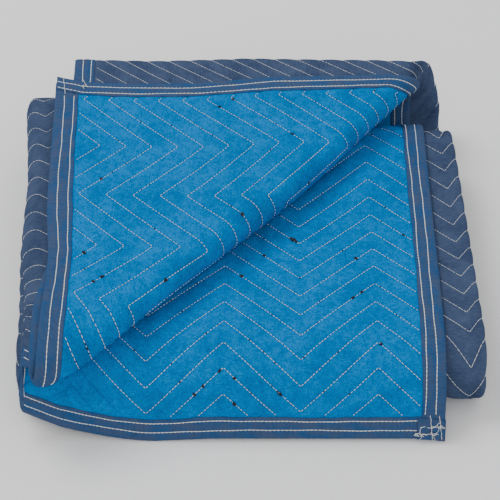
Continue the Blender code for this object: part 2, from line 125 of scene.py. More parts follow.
# each bend's radius and centre in layers, and the side it is on
BENDS = ((1.5, 1.5, -1), (0.5, 2.5, 1), (0.5, 1.5, -1))
FOLD_CORNER_BEND = 1
FAR_REF = 6.0 * LAYER
NEAR_REF = 4.0 * LAYER
IN_FAR_REF = 2.0 * LAYER
SEGMENTS = (
    ("q1", FAR_FOLD - NEAR_END),
    ("far", pi * FAR_REF),
    ("q2", FAR_FOLD - NEAR_FOLD),
    ("near", pi * NEAR_REF),
    ("q3", FAR_FOLD - NEAR_FOLD),
    ("in_far", pi * IN_FAR_REF),
    ("q4", FAR_FOLD - INNER_END),
)

# the cloth's own thickness
SEAM_HALF_M = 0.0013
CREST_HALF_M = 0.0026
RIM_HALF_M = 0.0013
RIM_START = 0.8 * BINDING
RIM_LENGTH = 0.45
PUFF_POWER = 0.7

# small enough to count as nothing, and longer than the cloth either way
TINY = 1e-9
ANY = 99.0


def strip_pieces():
    """Panels and bends in order, each with its start and length along the strip."""
    pieces = []
    u = 0.0
    for i, width in enumerate(PANEL_WIDTHS):
        pieces.append(("panel", i, u, width))
        u += width
        if i < len(BENDS):
            length = pi * BENDS[i][0] * LAYER
            pieces.append(("bend", i, u, length))
            u += length
    return pieces, u


def path_segments():
    rows = []
    v = 0.0
    for name, length in SEGMENTS:
        rows.append((name, v, length))
        v += length
    return rows, v


PIECES, STRIP = strip_pieces()
PATH, DEPTH = path_segments()
FLAP_FOLD = PIECES[4][2]
INNER_FOLD = PIECES[6][2]
END_OFFSETS = (
    (0.0, 0.0), (9.0, 0.0), (15.0, -0.3), (PIECES[2][2], -0.1), (FLAP_FOLD, 0.85),
    (INNER_FOLD - 9.0, 0.3), (INNER_FOLD - 7.0, -0.1), (INNER_FOLD - 5.0, -0.6),
    (INNER_FOLD - 3.0, -0.95), (INNER_FOLD - 1.0, -1.1), (INNER_FOLD, -0.85),
    (INNER_FOLD + 7.0, -0.15), (STRIP, 0.05),
)


# the fold


def mix(a, b, f):
    return a + (b - a) * f


def smooth(f):
    f = np.clip(f, 0.0, 1.0)
    return f * f * (3.0 - 2.0 * f)


def along(rows, y):
    """Read a table of (y, value) rows at y."""
    return np.interp(y, [r[0] for r in rows], [r[1] for r in rows])


def section(u, y, top):
    """x, level and share of the leaf's turn for places along the strip."""
    xs = {
        "edge4": along(EDGE_TOP if top else EDGE_LOWER, y),
        "edge1": along(EDGE_LEAF if top else EDGE_LOWER, y),
        "fold": along(FOLD_LEAF if top else FOLD_LOWER, y),
        "spine": along(SPINE, y),
        "inner": np.full_like(y, INNER_SPINE),
    }
    x = np.zeros_like(u)
    level = np.zeros_like(u)
    share = np.ones_like(u)
    last = len(PIECES) - 1
    for k, (kind, i, start, length) in enumerate(PIECES):
        here = (u > start + TINY) if k else np.ones(u.shape, bool)
        if k < last:
            here = here & (u <= start + length + TINY)
        f = (u - start) / length
        if kind == "panel":
            a, b, panel_level, _, _ = PANELS[i]
            x = np.where(here, mix(xs[a], xs[b], f), x)
            level = np.where(here, panel_level, level)
            share = np.where(here, 0.0 if i == 0 else 1.0, share)
            continue
        radius, centre, side = BENDS[i]
        turn = pi * f
        rising = 1 if PANELS[i + 1][2] > PANELS[i][2] else -1
        x = np.where(here, xs[PANELS[i][1]] + side * radius * LAYER * np.sin(turn), x)
        level = np.where(here, centre - rising * radius * np.cos(turn), level)
        share = np.where(here, smooth(f) if i == 0 else 1.0, share)
    return x, level, share


ROLL_OUTER = (ROLL_GAP + 2.0) * LAYER
ROLL_AXIS = (TOP_LEVEL + STRIP_TOP + ROLL_GAP) * LAYER


def crease_bow(run):
    """How far the crease bows away from a straight line toward its far end."""
    return CREASE_BOW * np.maximum((run - CREASE_BOW_START) / CREASE_BOW_LENGTH, 0.0) ** 2


def crease_distance(x, y):
    """Distance past the crease, and distance along it."""
    dx = x - CREASE_POINT[0]
    dy = y - CREASE_POINT[1]
    c = cos(CREASE_ANGLE)
    s = sin(CREASE_ANGLE)
    run = dx * c + dy * s
    return dx * s - dy * c + crease_bow(run), run


def roll(x, y, level):
    """Roll leaf points back over the crease: x, y, height and how far they are turned over."""
    past, run = crease_distance(x, y)
    radius = (ROLL_GAP + STRIP_TOP - level) * LAYER
    angle = np.clip(past / ROLL_OUTER, 0.0, pi)
    beyond = np.maximum(past - pi * ROLL_OUTER, 0.0)
    across = np.where(past > 0.0, radius * np.sin(angle) - beyond * FLAP_STRETCH, past)
    across = across - crease_bow(run)
    z = ROLL_AXIS - radius * np.cos(angle)
    c = cos(CREASE_ANGLE)
    s = sin(CREASE_ANGLE)
    rx = CREASE_POINT[0] + run * c + across * s
    ry = CREASE_POINT[1] + run * s - across * c
    return rx, ry, z, angle / pi


def bend(z, start, centre, angle, away):
    """Turn heights about a fold's centre: far folds away, near folds toward."""
    rise = z - centre * LAYER
    return start + away * rise * np.sin(angle), centre * LAYER + rise * np.cos(angle)


def turn_leaf(x, y, share):
    a = LEAF_TURN * share
    dx = x - LEAF_PIVOT[0]
    dy = y - LEAF_PIVOT[1]
    rx = LEAF_PIVOT[0] + dx * np.cos(a) - dy * np.sin(a)
    ry = LEAF_PIVOT[1] + dx * np.sin(a) + dy * np.cos(a)
    return rx, ry


def hang_curve():
    """The hanging top panel's curve: rows of flat y, true y, drop and slope, from the near end up."""
    rows = [(HANG_START, HANG_START, 0.0, 0.0)]
    while rows[-1][0] > HANG_END:
        t, y, drop, _ = rows[-1]
        a = radians(float(along(SLOPE, t - 0.5 * SLOPE_STEP)))
        rows.append((t - SLOPE_STEP, y - SLOPE_STEP * cos(a), drop + SLOPE_STEP * sin(a), a))
    return np.array(rows[::-1])


HANG = hang_curve()


def hang_at(value, column):
    """True y, drop and slope of the hanging curve where a column has this value."""
    keys = HANG[:, column]
    true_y = np.where(value > HANG_START, value, np.interp(value, keys, HANG[:, 1]))
    return true_y, np.interp(value, keys, HANG[:, 2]), np.interp(value, keys, HANG[:, 3])


def skew(x, y, z):
    """The spine is drawn in toward its near end, and the far folds slant away to the right."""
    below = np.clip((SLANT_TOP - z / LAYER) / SLANT_FADE, 0.0, 1.0)
    share = smooth((DRAWN_X - x) / DRAWN_WIDTH) * smooth((DRAWN_Y - y) / DRAWN_DEPTH)
    slant = np.clip((x - SLANT_X) / SLANT_WIDTH, 0.0, 1.0) * smooth((y - SLANT_Y) / SLANT_DEPTH)
    return x + DRAWN_IN * share, y + SLANT * slant * below


def settle(x, y, z):
    """Let the near side of the pack sink and its top layers hang down to the floor."""
    x, y = skew(x, y, z)
    top = TOP_LEVEL * LAYER
    pull = CORNER_PULL * np.maximum((CORNER_X - x) / CORNER_WIDTH, 0.0) ** CORNER_POWER
    pull = pull * smooth((CORNER_Y - y) / CORNER_DEPTH)
    lift = np.clip((z - (TOP_LEVEL - 1) * LAYER) / LAYER, 0.0, 1.0)
    rolled = smooth((z / LAYER - ROLL_PULL_FROM) / ROLL_PULL_DEPTH)
    y = y + pull * (lift + ROLL_PULL * rolled)
    _, low_drop, _ = hang_at(y, 1)
    low_z = z * (1.0 - low_drop / top)
    true_y, drop, slope = hang_at(y, 0)
    above = z - top
    hung_y = true_y - above * np.sin(slope)
    hung_z = top - drop + above * np.cos(slope)
    return x, mix(y, hung_y, lift), mix(low_z, hung_z, lift)


def fold_top(u, v):
    """Places of the top quarter and of the far fold."""
    y = NEAR_END + v + along(END_OFFSETS, u) * np.maximum(1.0 - v / END_OFFSET_REACH, 0.0)
    x, level, share = section(u, y, True)
    far_shift = along(LEAF_FAR_SHIFT, x) * share
    far_fold = FAR_FOLD + far_shift
    y = y + far_shift * np.minimum(v / PATH[0][2], 1.0)
    z = (TOP_LEVEL + level) * LAYER
    rx, ry, rz, turned = roll(x, y, level)
    on = share > 0.0
    x = mix(x, rx, share)
    y = mix(y, ry, share)
    z = np.where(on & (level >= 1.0), rz, mix(z, rz, share))
    turned = np.where(on, turned, 0.0)
    over = np.maximum(y - far_fold, 0.0)
    kept = over * smooth(turned)
    angle = (over - kept) / FAR_REF
    by, bz = bend(z, far_fold, FAR_CENTRE, angle, 1)
    past = over > 0.0
    y = np.where(past, by + kept * np.cos(angle), y)
    z = np.where(past, bz - kept * np.sin(angle), z)
    x, y = turn_leaf(x, y, share)
    return x, y, z


def fold_second(u, v, run, length):
    y = FAR_FOLD - run
    x, level, share = section(u, y, False)
    x_top, _, _ = section(u, NEAR_END + v, True)
    fade = smooth(1.0 - run / length)
    x = mix(x, x_top, fade)
    y = y + along(LEAF_FAR_SHIFT, x) * share * fade
    x, y = turn_leaf(x, y, share * fade)
    return x, y, (STRIP_TOP - level) * LAYER


def fold_place(name, u, v, run, length):
    if name in ("q1", "far"):
        return fold_top(u, v)
    if name == "q2":
        return fold_second(u, v, run, length)
    turns = {
        "near": (NEAR_FOLD, NEAR_CENTRE, pi - run / NEAR_REF, -1),
        "in_far": (FAR_FOLD, FAR_CENTRE, run / IN_FAR_REF, 1),
    }
    if name in turns:
        x, level, _ = section(u, np.full_like(u, turns[name][0]), False)
        return x, *bend((THIRD_LEVEL + level) * LAYER, *turns[name])
    y = NEAR_FOLD + run if name == "q3" else FAR_FOLD - run
    x, level, _ = section(u, y, False)
    return x, y, (THIRD_LEVEL + level if name == "q3" else FOURTH_TOP - level) * LAYER


PATH_ENDS = np.array([start + length for _, start, length in PATH])


def place(u, v):
    """The middle of the cloth at places on it, in metres."""
    u, v = np.broadcast_arrays(np.asarray(u, float), np.asarray(v, float))
    out = np.zeros(u.shape + (3,))
    index = np.clip(np.searchsorted(PATH_ENDS, v - TINY), 0, len(PATH) - 1)
    for k, (name, start, length) in enumerate(PATH):
        here = index == k
        if not here.any():
            continue
        x, y, z = fold_place(name, u[here], v[here], v[here] - start, length)
        x, y, z = settle(x, y, z)
        out[here] = np.stack((x, y, z), -1)
    return out * PITCH_M + np.array((-MIDDLE_X_M, -MIDDLE_Y_M, PAD_HALF_M))


PROBE = 0.03


def unit(a):
    return a / np.maximum(np.linalg.norm(a, axis=-1, keepdims=True), 1e-12)


def cloth_frame(u, v):
    """Places, normals toward the felted face, and the two directions along the cloth."""
    u, v = np.broadcast_arrays(np.asarray(u, float), np.asarray(v, float))
    du = unit(place(u + PROBE, v) - place(u - PROBE, v))
    dv = unit(place(u, v + PROBE) - place(u, v - PROBE))
    return place(u, v), unit(np.cross(dv, du)), du, dv


# the zigzag


def stitch_corners():
    """Every stitch corner along the strip, as (place, shift of the rows there)."""
    corners = []
    for kind, i, start, width in PIECES:
        if kind == "bend":
            if i == FOLD_CORNER_BEND:
                corners.append((start + 0.5 * width, -0.5 * ZIG_RISE))
            continue
        _, _, _, first, side = PANELS[i]
        while first < width:
            corners.append((start + first, side * 0.5 * ZIG_RISE))
            first += ZIG_RUN
            side = -side
    start_u, start_shift = corners[0]
    end_u, end_shift = corners[-1]
    slope = ZIG_RISE / ZIG_RUN
    before = (0.0, start_shift - start_u * slope * np.sign(start_shift))
    after = (STRIP, end_shift - (STRIP - end_u) * slope * np.sign(end_shift))
    return [before] + corners + [after]


CORNERS = stitch_corners()


def row_shift(u, v):
    """How far the rows are shifted at a place: on the right strip their corners lie further in."""
    return along(CORNERS, u + STRIP_CORNER_SHIFT * smooth((v - CORNER_SHIFT_START) / CORNER_SHIFT_LENGTH))


def row_base(v):
    """Where the rows lie: they drift a little between the top quarter and the third."""
    return ZIG_ROW_START + ROW_DRIFT * smooth((v - ROW_DRIFT_START) / ROW_DRIFT_LENGTH)


def seam_distance(u, v):
    """Distance to the nearest stitched row, from 0 on it to 0.5 midway."""
    phase = (v - row_shift(u, v) - row_base(v)) % 1.0
    return np.minimum(phase, 1.0 - phase)


def half_thickness(u, v):
    """Half the cloth's thickness: drawn in at the stitched rows and under the bindings."""
    puff = np.sin(pi * seam_distance(u, v)) ** PUFF_POWER
    half = SEAM_HALF_M + (CREST_HALF_M - SEAM_HALF_M) * puff
    edge = np.minimum(np.minimum(u, STRIP - u), np.minimum(v, DEPTH - v))
    return mix(RIM_HALF_M, half, smooth((edge - RIM_START) / RIM_LENGTH))


def surface(u, v, side):
    """A point of the cloth's surface and its outward normal: side 1 is the felted face."""
    middle, normal, du, dv = cloth_frame(u, v)
    half = half_thickness(np.asarray(u, float), np.asarray(v, float))
    return middle + normal * (side * half)[..., None], normal * side, du, dv


# meshes

FINE_ROWS = (0.0, 0.06, 0.16, 0.31, 0.5, 0.69, 0.84, 0.94)
FOLD_ROWS = (0.0, 0.25, 0.5, 0.75)
COARSE_ROWS = (0.0, 0.5)
ROW_MARGIN = 0.06
FINE_COLUMN = ZIG_RUN / 10
COARSE_COLUMN = 0.6
BEND_COLUMNS = (12, 7, 7)
COLUMN_GAP = 0.02
SHOW_MARGIN = 1.6
# the stretches of each panel that get fine columns, from its start
FINE_STRETCHES = (
    ((0.0, 16.5),),
    ((0.0, 4.5), (13.0, 18.0)),
    ((0.0, 4.0), (14.02, 18.02)),
    ((0.0, 17.4),),
)
# how far fine rows reach from the flap's fold and the spine, and where those on the right start
FLAP_FINE = 3.5
SPINE_FINE = 4.0
RIGHT_FINE = 14.0
# quilting rows are numbered from here; marks outside them are the bindings' rows
FIRST_ROW = -4
FIRST_MARK = -99.0
LAST_MARK = 999.0
NO_MARK = 1e9
SAME_MARK = 1e-6
# how far the painted shade along each stitched row reaches, in pitches
SEAM_SHADE_WIDTH = 0.045


def columns():
    """Columns of the cloth's mesh, finest on the panels and folds that show."""
    marks = []
    for kind, i, start, length in PIECES:
        if kind == "bend":
            marks += [start + length * k / BEND_COLUMNS[i] for k in range(BEND_COLUMNS[i])]
            if i == FOLD_CORNER_BEND:
                marks.append(start + 0.5 * length - STRIP_CORNER_SHIFT)
            continue
        corners = [start] + [c for c, _ in CORNERS if start < c < start + length] + [start + length]
        for a, b in zip(corners, corners[1:]):
            middle = 0.5 * (a + b) - start
            fine = any(low < middle < high for low, high in FINE_STRETCHES[i])
            steps = max(1, round((b - a) / (FINE_COLUMN if fine else COARSE_COLUMN)))
            marks += [a + (b - a) * k / steps for k in range(steps)]
    marks += [BINDING * 0.5, BINDING, STRIP - BINDING, STRIP - BINDING * 0.5, STRIP]
    marks.sort()
    kept = [marks[0]]
    for u in marks[1:]:
        if u - kept[-1] > COLUMN_GAP:
            kept.append(u)
    kept[-1] = STRIP
    return kept


def row_kind(u, v):
    """The rows to model at a place: fine where the quilting shows."""
    name = PATH[min(int(np.searchsorted(PATH_ENDS, v - TINY)), len(PATH) - 1)][0]
    if name in ("far", "near", "in_far"):
        return FOLD_ROWS
    kind, i, start, _ = [p for p in PIECES if u >= p[2] - TINY][-1]
    if name == "q1":
        x, _, _ = section(np.array([u]), np.array([NEAR_END + v]), True)
        past, _ = crease_distance(x[0], NEAR_END + v)
        near = past > -SHOW_MARGIN
        flap = (kind == "bend" and i == 1) or (kind == "panel" and i == 2 and u < FLAP_FOLD + FLAP_FINE)
        if flap or (kind == "panel" and i in (0, 3)):
            return FINE_ROWS if near else FOLD_ROWS
        if (kind == "bend" and i == 0) or (i == 1 and u < start + SPINE_FINE):
            return FINE_ROWS
        return FOLD_ROWS if near else COARSE_ROWS
    if name == "q3":
        if (kind == "bend" and i == 1) or (kind == "panel" and i == 1 and u > start + RIGHT_FINE):
            return FINE_ROWS
    return COARSE_ROWS


def column_rows(u):
    """Rows of one column, as (mark, v): the marks of neighbouring columns pair up."""
    rows = [(FIRST_MARK + k, 0.5 * k * BINDING) for k in range(3)]
    k = FIRST_ROW
    while True:
        shift = float(row_shift(u, k))
        v = k + ZIG_ROW_START + shift
        if v > DEPTH:
            break
        for part in row_kind(u, min(max(v, 0.0), DEPTH)):
            base = k + part
            v = base + shift + float(row_base(base + shift))
            if BINDING + ROW_MARGIN < v < DEPTH - BINDING - ROW_MARGIN:
                rows.append((base, v))
        k += 1
    return rows + [(LAST_MARK - k, DEPTH - 0.5 * k * BINDING) for k in (2, 1, 0)]


def join_columns(faces, left, right):
    """Fill between two columns of (mark, point) rows."""
    a = 0
    b = 0
    while a < len(left) - 1 or b < len(right) - 1:
        next_a = left[a + 1][0] if a < len(left) - 1 else NO_MARK
        next_b = right[b + 1][0] if b < len(right) - 1 else NO_MARK
        face = [left[a][1], right[b][1]]
        if next_b < next_a + SAME_MARK:
            b += 1
            face.append(right[b][1])
        if next_a < next_b + SAME_MARK:
            a += 1
            face.append(left[a][1])
        faces.append(face)


def flat_cloth():
    """The cloth laid out flat: places (u, v) and faces."""
    points = []
    faces = []
    before = None
    for u in columns():
        rows = []
        for mark, v in column_rows(u):
            points.append((u, v))
            rows.append((mark, len(points) - 1))
        if before:
            join_columns(faces, before, rows)
        before = rows
    return np.array(points), faces


def add_attribute(mesh, name, values):
    """Store one vector or number for each point, for the materials to read."""
    values = np.asarray(values, float)
    vector = values.ndim == 2
    data = mesh.attributes.new(name, "FLOAT_VECTOR" if vector else "FLOAT", "POINT")
    data.data.foreach_set("vector" if vector else "value", values.ravel())


def new_mesh_object(name, points, faces, materials, face_material=None):
    mesh = bpy.data.meshes.new(name)
    mesh.from_pydata([tuple(p) for p in points], [], faces)
    for material in materials:
        mesh.materials.append(material)
    if face_material is not None:
        mesh.polygons.foreach_set("material_index", face_material)
    mesh.polygons.foreach_set("use_smooth", [True] * len(mesh.polygons))
    mesh.update()
    obj = bpy.data.objects.new(name, mesh)
    bpy.context.scene.collection.objects.link(obj)
    return obj


def make_cloth(felt, weave):
    """The blanket: one folded sheet, felted on one face and woven on the other."""
    flat, faces = flat_cloth()
    u = flat[:, 0]
    v = flat[:, 1]
    top, low = (surface(u, v, side)[0] for side in (1.0, -1.0))
    count = len(flat)
    seen = {}
    for face in faces:
        for a, b in zip(face, face[1:] + face[:1]):
            seen[(a, b)] = True
    rim = [(a, b) for a, b in seen if (b, a) not in seen]
    all_faces = [f[::-1] for f in faces]
    all_faces += [[k + count for k in f] for f in faces]
    all_faces += [[a, b, b + count, a + count] for a, b in rim]
    index = [0] * len(faces) + [1] * len(faces) + [1] * len(rim)
    obj = new_mesh_object("quilted_cloth", np.concatenate((top, low)), all_faces, [felt, weave], index)
    on_cloth = np.stack((u * PITCH_M, v * PITCH_M, np.zeros(count)), -1)
    add_attribute(obj.data, "cloth", np.concatenate((on_cloth, on_cloth)))
    # painted shade along the stitched rows: strongest on each row and fading away from it, read by the felt
    # and weave materials to darken there
    seam_shade = np.exp(-((seam_distance(u, v) / SEAM_SHADE_WIDTH) ** 2))
    add_attribute(obj.data, "seam_shade", np.concatenate((seam_shade, seam_shade)))
    return obj


# binding strips

# distance from the edge, and height over the cloth's middle in metres
TAPE = (
    (0.87, 0.0012), (0.88, 0.0022), (0.85, 0.0028), (0.78, 0.0027), (0.713, 0.0021),
    (0.64, 0.0027), (0.52, 0.0030), (0.40, 0.0027), (0.33, 0.0021), (0.26, 0.0027),
    (0.14, 0.0028), (0.05, 0.0024), (-0.02, 0.0016), (-0.05, 0.0006),
)
TAPE_ROWS = (0.713, 0.33)
STRIP_STEP = 0.14
BEND_STEP = 0.05
BEND_MARGIN = 0.1
TAPE_MIDDLE = 2.0
# waves of a strip's edge: turns along it, turns with the seed, size
WANDER = ((0.9, 1.7, 1.0), (2.3, 3.1, 0.6), (5.1, 5.3, 0.35))
EDGE_WANDER = 0.035
ROW_WANDER = 0.028
# the wandering fades in from here across the strip
WANDER_FROM = 0.45
WANDER_LENGTH = 0.4
# puckers across and ripples along, where the strip stands off the cloth
PUCKER = 0.10
RIPPLE = 0.05
PUCKER_FROM_M = 0.0019
PUCKER_DEPTH_M = 0.0009
# two strips turn outward at their start, one on the flap and one at the near corner
FLICK_END = 1.3
FLICK_LIMIT = 2.0
FLAP_FLICK = 0.24
TAB_FLICK = 0.12
TIP_END = 0.95
TIP_LENGTH = 0.2
TAB_LIFT_M = 0.0014
TIP_REST_M = 0.004
# name, edge, start, end, seed, lift in metres and how far it turns outward
TAPES = (
    ("tape_side_a", "side_a", 0.30, DEPTH + 0.04, 1.0, 0.0, 0.0),
    ("tape_side_b", "side_b", 0.0, DEPTH + 0.04, 2.0, 0.0, FLAP_FLICK),
    ("tape_near_end", "near_end", 0.60, STRIP - 0.12, 3.0, 0.0, 0.0),
    ("tape_corner_tab", "near_end", -0.07, 1.02, 5.0, TAB_LIFT_M, TAB_FLICK),
    ("tape_inner_end", "inner_end", 0.90, STRIP - 0.90, 4.0, 0.0, 0.0),
)


def wander(s, seed, size):
    """A smooth irregular wave along a strip."""
    wave = sum(share * np.sin(a * s + b * seed) for a, b, share in WANDER)
    return size * wave / sum(share for _, _, share in WANDER)


def turned_out(s, flick):
    """How far a strip's start turns outward at places along it."""
    return flick * np.clip((FLICK_END - s) / FLICK_END, 0.0, FLICK_LIMIT) ** 2


def tip_lift(s, flick):
    """1 at the raised tip of a strip that turns outward, 0 elsewhere."""
    return (flick > 0.0) * smooth((TIP_END - s) / TIP_LENGTH)


def edge_places(edge, s, d):
    """Where a strip's points lie on the cloth, and which way is out."""
    d_in = np.maximum(d, 0.0)
    if edge == "side_a":
        u, v = d_in, s
    elif edge == "side_b":
        u, v = STRIP - d_in, s
    elif edge == "near_end":
        u, v = s, d_in
    else:
        u, v = s, DEPTH - d_in
    middle, normal, du, dv = cloth_frame(u, v)
    out = {"side_a": -du, "side_b": du, "near_end": -dv, "inner_end": dv}[edge]
    return middle + out * (np.maximum(-d, 0.0) * PITCH_M)[..., None], normal


def strip_marks(edge, start, end):
    """Places along a strip, closer together round the folds between panels."""
    marks = [start]
    while marks[-1] < end:
        s = marks[-1]
        step = STRIP_STEP
        if edge in ("near_end", "inner_end"):
            bends = [p for p in PIECES if p[0] == "bend"]
            if any(a - BEND_MARGIN < s < a + length + BEND_STEP for _, _, a, length in bends):
                step = BEND_STEP
        marks.append(s + step)
    marks[-1] = end
    return np.array(marks)


def tape_height(s, d, height, seed, puff):
    """The strip's height: puckered between its stitched rows."""
    swell = 1.0 + PUCKER * np.sin(6.5 * s + 2.0 * seed) * np.sin(2.1 * s + seed)
    swell = swell + RIPPLE * np.sin(14.0 * s + 9.0 * d + seed)
    free = np.clip((height - PUCKER_FROM_M) / PUCKER_DEPTH_M, 0.0, 1.0)
    return height * mix(1.0, swell, free) + puff


def make_strip(name, edge, start, end, seed, puff, flick, material):
    """A tape folded over one edge of the cloth."""
    s = strip_marks(edge, start, end)
    ring = [(d, h, 1.0) for d, h in TAPE] + [(d, h, -1.0) for d, h in reversed(TAPE)]
    points = []
    places = []
    for k, (d, h, side) in enumerate(ring):
        inner = smooth((d - WANDER_FROM) / WANDER_LENGTH)
        dist = d - turned_out(s, flick) + wander(s, seed + side, EDGE_WANDER) * inner
        middle, normal = edge_places(edge, s, dist)
        lift = puff + (TAB_LIFT_M - puff) * tip_lift(s, flick)
        height = tape_height(s, dist, h, seed + side, lift)
        point = middle + normal * (side * height)[..., None]
        if puff > 0.0:
            low = np.minimum(point[:, 2] - TIP_REST_M, 0.0)
            point[:, 2] += TIP_REST_M * np.exp(low / TIP_REST_M) - TIP_REST_M - low
        points.append(point)
        across = TAPE_MIDDLE - side * d
        places.append(np.stack((s * PITCH_M, np.full_like(s, across * PITCH_M), np.zeros_like(s)), -1))
    n = len(s)
    m = len(ring)
    faces = []
    for k in range(m):
        after = (k + 1) % m
        for j in range(n - 1):
            faces.append((k * n + j, k * n + j + 1, after * n + j + 1, after * n + j))
    faces.append(tuple(k * n for k in range(m)))
    faces.append(tuple(k * n + n - 1 for k in reversed(range(m))))
    obj = new_mesh_object(name, np.concatenate(points), faces, [material])
    add_attribute(obj.data, "cloth", np.concatenate(places))
    face_outward(obj)
    return obj


def face_outward(obj):
    mesh = bmesh.new()
    mesh.from_mesh(obj.data)
    bmesh.ops.recalc_face_normals(mesh, faces=mesh.faces)
    mesh.to_mesh(obj.data)
    mesh.free()


# threads

# a stitch's rings: place along it and radius, for a stitch one long and one across
BEAD_RINGS = ((-0.42, 0.38), (0.0, 0.5), (0.42, 0.38))
STITCH_STRAY = 0.06
STITCH_LENGTHS = (0.85, 1.1)
TAPE_LENGTHS = (0.92, 1.04)
# spacing in metres, share of it that the stitch covers, and width in metres
FELT_STITCH = (0.0044, 0.76, 0.00075)
WEAVE_STITCH = (0.0042, 1.0, 0.00068)
TAPE_STITCH = (0.0047, 1.06, 0.00115)
TAPE_STITCH_HEIGHT_M = 0.0022
TAPE_SEED = 3
SINK = 0.1
TAPE_SINK = 0.12
FINE_STEP = 0.03
MIN_RUN = 3
BORDER = BINDING + 0.05
FAR_END = PATH[1][1] + PATH[1][2]
# name, edge, stretches of start, end and face, and how far the strip turns outward
TAPE_THREADS = (
    ("thread_side_a", "side_a", ((0.99, 20.0, 1.0), (0.99, DEPTH, -1.0)), 0.0),
    ("thread_side_b", "side_b", ((0.03, FAR_END, 1.0), (1.0, DEPTH, -1.0)), FLAP_FLICK),
    ("thread_near_end", "near_end", ((1.02, STRIP - 0.9, 1.0), (0.95, STRIP - 0.9, -1.0)), 0.0),
)


def bead_shape(sides):
    """One stitch along x: rings of points with a tip at each end."""
    points = [(-0.5, 0.0, 0.0)]
    for x, r in BEAD_RINGS:
        points += [(x, r * cos(2 * pi * k / sides), r * sin(2 * pi * k / sides)) for k in range(sides)]
    points.append((0.5, 0.0, 0.0))
    last = len(points) - 1
    faces = []
    for k in range(sides):
        j = (k + 1) % sides
        faces.append((0, 1 + j, 1 + k))
        a = 1
        for _ in BEAD_RINGS[1:]:
            faces.append((a + k, a + j, a + sides + j, a + sides + k))
            a += sides
        faces.append((a + k, a + j, last))
    return np.array(points), faces


def make_stitches(name, starts, ends, normals, width, sink, material, sides, length_share=1.0):
    """Stitches from starts to ends, lying on a surface and sunk a little at both tips."""
    shape, shape_faces = bead_shape(sides)
    along_dir = ends - starts
    length = np.linalg.norm(along_dir, axis=1) * length_share
    x_dir = unit(along_dir)
    y_dir = unit(np.cross(normals, x_dir))
    z_dir = np.cross(x_dir, y_dir)
    centre = 0.5 * (starts + ends)
    local_x = shape[None, :, 0] * length[:, None]
    local_y = shape[None, :, 1] * width
    bow = (1.0 - (2.0 * shape[:, 0]) ** 2) * 0.5 - sink
    local_z = (shape[None, :, 2] + bow[None, :]) * width
    points = (
        centre[:, None, :]
        + x_dir[:, None, :] * local_x[..., None]
        + y_dir[:, None, :] * local_y[..., None]
        + z_dir[:, None, :] * local_z[..., None]
    )
    n = len(shape)
    faces = [tuple(a + i * n for a in f) for i in range(len(starts)) for f in shape_faces]
    return new_mesh_object(name, points.reshape(-1, 3), faces, [material])


def cut_run(u, v, pitch_m, share, rng):
    """Cut a line on the cloth into stitches: the places where each starts and ends."""
    step = np.hypot(np.diff(u), np.diff(v)) * PITCH_M
    length = np.concatenate(([0.0], np.cumsum(step)))
    count = int(round(length[-1] / pitch_m))
    if count < 1:
        return np.zeros((0, 4))
    pitch_m = length[-1] / count
    at = (np.arange(count) + 0.5 + rng.uniform(-STITCH_STRAY, STITCH_STRAY, count)) * pitch_m
    half = 0.5 * share * pitch_m * rng.uniform(*STITCH_LENGTHS, count)
    rows = []
    for place_at in (at - half, at + half):
        rows += [np.interp(place_at, length, u), np.interp(place_at, length, v)]
    return np.stack(rows, -1)


def rolled_past(u, v):
    """How far a place of the top quarter is past the crease, whether it turns over or not."""
    x, _, _ = section(u, NEAR_END + v, True)
    return crease_distance(x, NEAR_END + v)[0]


SPINE_FOLD = PIECES[1][2]
ALL = (-ANY, ANY)
FIRST = (-ANY, PATH[0][2] + 0.5)
# stretches that show on the woven face: in u, in v and past the crease
WEAVE_SHOWS = (
    ((SPINE_FOLD, SPINE_FOLD + 5.5), FIRST, (-ANY, 1.2)),
    ((FLAP_FOLD - 5.0, FLAP_FOLD + 3.2), FIRST, (0.0, ANY)),
    ((SPINE_FOLD, FLAP_FOLD), (PATH[0][2] - 2.5, PATH[2][1] + 0.6), ALL),
    ((FLAP_FOLD - 5.0, FLAP_FOLD + 0.3), (PATH[3][1] - 1.0, PATH[5][1] + 0.6), ALL),
    ((SPINE_FOLD - 0.2, SPINE_FOLD + PIECES[1][3] + 0.6), ALL, ALL),
    ((FLAP_FOLD - 1.4, FLAP_FOLD + 1.8), (PATH[2][1], ANY), ALL),
)
# the same on the felted face: the lowest layer and the one that is laid back
FELT_SHOWS = (
    ((-ANY, PIECES[0][3]), FIRST, (-1.4, ANY)),
    ((INNER_FOLD - 0.5, ANY), FIRST, (0.4, ANY)),
)
# on the lowest layer no thread shows below a line that rises from this place to the left
BARE_U = 11.5
BARE_V = 0.8


def shows(side, u, v):
    """Whether a place on a face of the cloth can be seen from outside the pack."""
    past = rolled_past(u, v)
    seen = np.zeros(u.shape, bool)
    for stretch in FELT_SHOWS if side > 0 else WEAVE_SHOWS:
        here = [(value > low) & (value < high) for value, (low, high) in zip((u, v, past), stretch)]
        seen |= here[0] & here[1] & here[2]
    if side > 0:
        below = v < BARE_V + (u - BARE_U) * ZIG_RISE / ZIG_RUN
        seen &= ~(below & (u >= BARE_U) & (u < PIECES[0][3]))
    return seen


